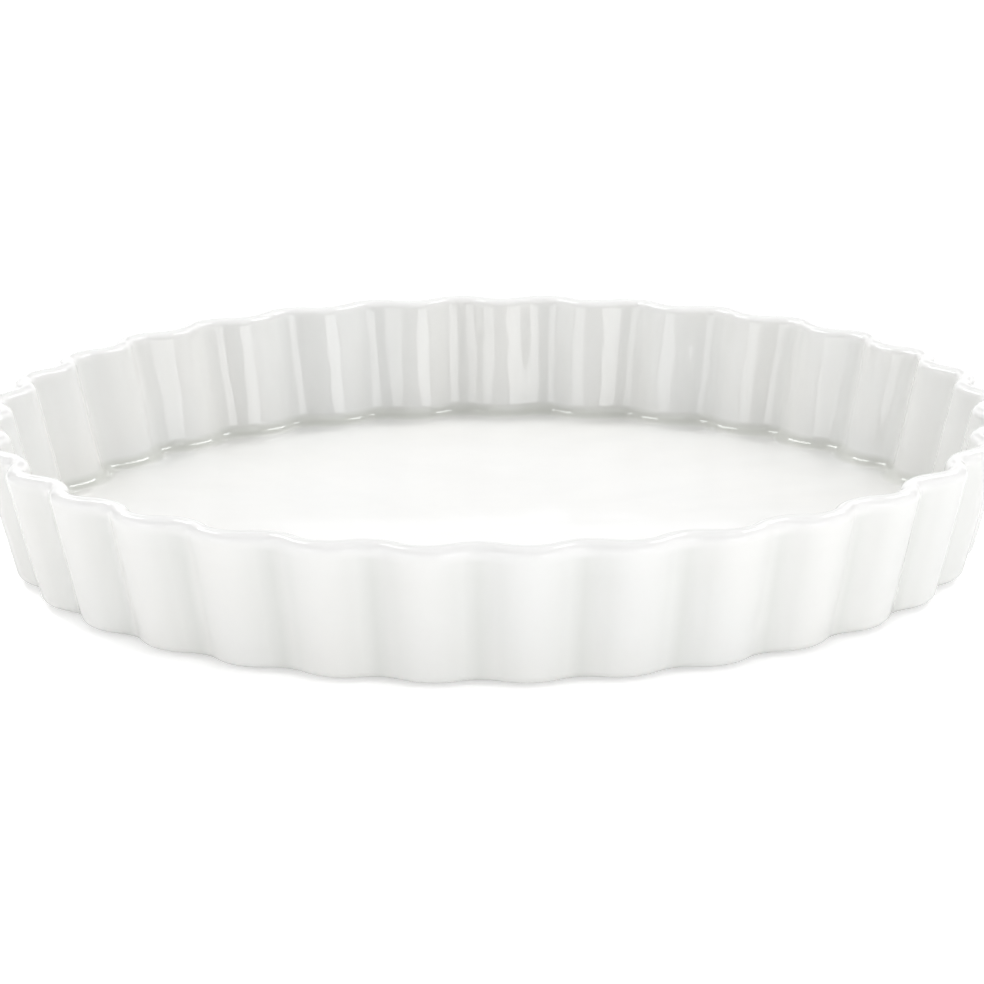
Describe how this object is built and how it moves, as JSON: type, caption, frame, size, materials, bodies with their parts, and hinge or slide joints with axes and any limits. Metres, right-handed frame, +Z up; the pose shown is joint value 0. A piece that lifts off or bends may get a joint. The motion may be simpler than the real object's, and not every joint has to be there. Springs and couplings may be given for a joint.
{
  "type": "fluted quiche dish",
  "caption": "Round shallow baking dish of white glazed porcelain with a fluted, outward-leaning wall, a rounded rim, a flat floor and a low bare foot ring, for quiches and tarts.",
  "frame": {"origin": "centre of the dish on the plane it stands on", "axes": "+Z up along the axis of the dish, -Y towards the front, in line with a valley of the fluted wall"},
  "size_m": [0.2786, 0.2786, 0.0387],
  "materials": {
    "white_glaze": "glossy clear glaze over white porcelain",
    "bare_porcelain": "matt, unglazed, ground flat where it stands"
  },
  "bodies": {
    "root": {"dish_body": "white_glaze", "foot_ring": "bare_porcelain"}
  },
  "joints": []
}
